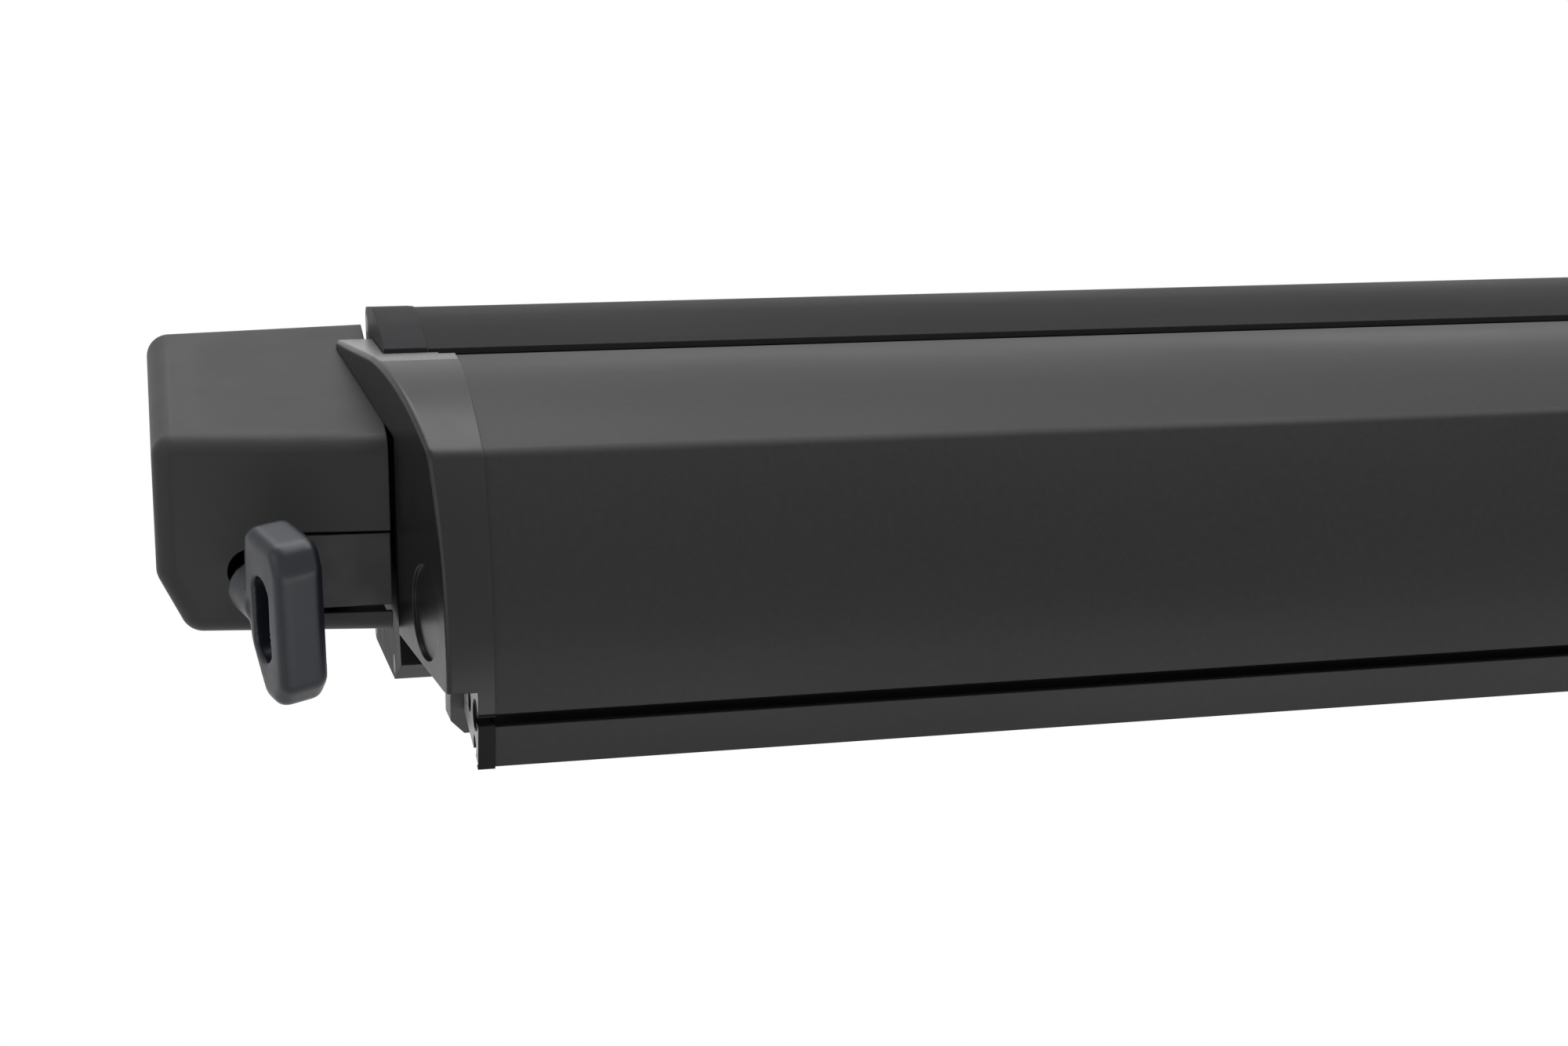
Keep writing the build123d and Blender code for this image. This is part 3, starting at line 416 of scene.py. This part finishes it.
def new_object(name, points, faces):
    mesh = bpy.data.meshes.new(name)
    mesh.from_pydata(points, [], faces)
    mesh.update()
    made = bpy.data.objects.new(name, mesh)
    bpy.context.scene.collection.objects.link(made)
    return made


def face_outward(mesh):
    repair = bmesh.new()
    repair.from_mesh(mesh)
    bmesh.ops.recalc_face_normals(repair, faces=repair.faces)
    repair.to_mesh(mesh)
    repair.free()


def spiral(centre_y, centre_z, inner, outer):
    """Outside and inside of the wound cloth, from the tube out to the last turn."""
    thickness = (outer - inner) / cloth_turns * wound_fill
    last = cloth_turns * turn_steps
    outside, inside = [], []
    for step in range(last + 1):
        share = step / last
        angle = leave_angle - 2 * pi * cloth_turns * (1 - share)
        radius = inner + (outer - inner) * share
        less = max(radius - thickness, inner - tube_sink)
        outside.append((centre_y + cos(angle) * radius, centre_z + sin(angle) * radius))
        inside.append((centre_y + cos(angle) * less, centre_z + sin(angle) * less))
    return outside, inside


def wound_canopy():
    """The fabric on the roller: one spiral of cloth."""
    low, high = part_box("canopy_roll")
    tube_low, tube_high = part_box("roller_tube")
    inner = (tube_high.z - tube_low.z) / 2 + tube_gap
    outer = (high.z - low.z) / 2
    outside, inside = spiral((low.y + high.y) / 2, (low.z + high.z) / 2, inner, outer)
    points = [(x, y, z) for side in (outside, inside) for x in (low.x, high.x) for y, z in side]
    count = len(outside)
    right, under = count, 2 * count
    faces = []
    for step in range(count - 1):
        along = step + 1
        faces.append((step, along, right + along, right + step))
        faces.append((under + along, under + step, under + right + step, under + right + along))
        faces.append((along, step, under + step, under + along))
        faces.append((right + step, right + along, under + right + along, under + right + step))
    for step in (0, count - 1):
        faces.append((step, right + step, under + right + step, under + step))
    roll = new_object("canopy_wound", points, faces)
    roll.data.materials.append(canopy_cloth)
    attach(roll, "roller")
    face_outward(roll.data)
    soften(roll.data, roll_smooth_limit)
    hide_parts("canopy_roll")


def slab_faces(rows, columns):
    """Faces of two layers of points in rows, closed all round."""
    line = columns + 1
    layer = line * (rows + 1)
    faces = []
    for row in range(rows):
        for column in range(columns):
            a = row * line + column
            faces.append((a, a + 1, a + line + 1, a + line))
            b = a + layer
            faces.append((b, b + line, b + line + 1, b + 1))
    for row in range(rows):
        for column in (0, columns):
            a = row * line + column
            faces.append((a, a + line, a + line + layer, a + layer))
    for column in range(columns):
        for row in (0, rows):
            a = row * line + column
            faces.append((a, a + 1, a + 1 + layer, a + layer))
    return faces


def canopy_span():
    """The span of cloth from the roll to the lead bar."""
    low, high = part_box("canopy_sheet")
    front = Vector((0, low.y, low.z + span_inset))
    rear = Vector((0, high.y - span_thickness, high.z - span_inset))
    width = high.x - low.x
    points = []
    for offset in (span_thickness / 2, -span_thickness / 2):
        for row in range(span_rows + 1):
            middle = rear.lerp(front, row / span_rows)
            for column in range(span_columns + 1):
                x = low.x + width * column / span_columns
                points.append((x, middle.y, middle.z + offset))
    span = new_object("canopy_span", points, slab_faces(span_rows, span_columns))
    face_outward(span.data)
    span.data.materials.append(canopy_cloth)
    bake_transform(span)
    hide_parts("canopy_sheet")


wound_canopy()
canopy_span()


# Floor, light and camera

floor_half = 30
floor_height = -2.6  # below the feet of the legs let down
floor_tone = 0.75
sky_light = 0.14


def shows_background(tree):
    """One for the rays that meet the background straight, in a reflection or through glass."""
    path = tree.nodes.new("ShaderNodeLightPath")
    seen = path.outputs["Is Camera Ray"]
    for kind in ("Is Glossy Ray", "Is Transmission Ray"):
        either = tree.nodes.new("ShaderNodeMath")
        either.operation = "MAXIMUM"
        tree.links.new(seen, either.inputs[0])
        tree.links.new(path.outputs[kind], either.inputs[1])
        seen = either.outputs["Value"]
    return seen


def floor_look():
    """Matt for the light that falls on it, plain white where it is seen."""
    look = bpy.data.materials.new("floor_look")
    look.use_nodes = True
    tree = look.node_tree
    tree.nodes.clear()
    matt = tree.nodes.new("ShaderNodeBsdfDiffuse")
    matt.inputs["Color"].default_value = (*grey(floor_tone), 1)
    white = tree.nodes.new("ShaderNodeEmission")
    white.inputs["Color"].default_value = (*grey(1), 1)
    mix = tree.nodes.new("ShaderNodeMixShader")
    tree.links.new(shows_background(tree), mix.inputs["Fac"])
    tree.links.new(matt.outputs["BSDF"], mix.inputs[1])
    tree.links.new(white.outputs["Emission"], mix.inputs[2])
    out = tree.nodes.new("ShaderNodeOutputMaterial")
    tree.links.new(mix.outputs["Shader"], out.inputs["Surface"])
    return look


def studio_world():
    """Soft light from all round, plain white where it is seen."""
    world = bpy.data.worlds.new("studio")
    world.use_nodes = True
    tree = world.node_tree
    background = tree.nodes["Background"]
    background.inputs["Color"].default_value = (*grey(1), 1)
    strength = tree.nodes.new("ShaderNodeMapRange")
    strength.inputs["To Min"].default_value = sky_light
    strength.inputs["To Max"].default_value = 1.0
    tree.links.new(shows_background(tree), strength.inputs["Value"])
    tree.links.new(strength.outputs["Result"], background.inputs["Strength"])
    return world


def area_light(name, place, aim, size, power):
    data = bpy.data.lights.new(name, "AREA")
    data.shape = "RECTANGLE"
    data.size, data.size_y = size
    data.energy = power
    made = bpy.data.objects.new(name, data)
    made.location = place
    direction = Vector(aim) - Vector(place)
    made.rotation_euler = direction.to_track_quat("-Z", "Y").to_euler()
    made.visible_camera = False
    bpy.context.scene.collection.objects.link(made)


def photo_camera():
    """The camera at the photo's place, angle and field of view."""
    data = bpy.data.cameras.new("camera")
    data.sensor_width = 36
    data.lens = 57.6
    data.clip_end = 60
    made = bpy.data.objects.new("camera", data)
    made.location = (-1.4815, -1.0651, 0.1821)
    down, to_right = 10.97, 14.14
    made.rotation_euler = Euler((radians(90 - down), 0, radians(-to_right)))
    bpy.context.scene.collection.objects.link(made)
    return made


corners = [(-1, -1), (1, -1), (1, 1), (-1, 1)]
floor_points = [(x * floor_half, y * floor_half, floor_height) for x, y in corners]
floor = new_object("floor", floor_points, [(0, 1, 2, 3)])
floor.data.materials.append(floor_look())

area_light("top_light", (-0.9, 0.1, 2.0), aim=(-1.1, -0.15, 0), size=(3.4, 1.3), power=53)
area_light("left_light", (-3.2, -1.0, 0.4), aim=(-1.4, -0.1, 0), size=(1.6, 1.6), power=9)
area_light("rear_light", (0.1, 2.6, 0.1), aim=(-1.0, -0.1, 0), size=(2.4, 1.2), power=9)
area_light("low_light", (-0.6, -2.2, -1.2), aim=(-1.0, -0.1, 0), size=(4, 1.0), power=24)

bpy.context.scene.world = studio_world()
bpy.context.scene.camera = photo_camera()
bpy.context.scene.view_settings.view_transform = "Standard"
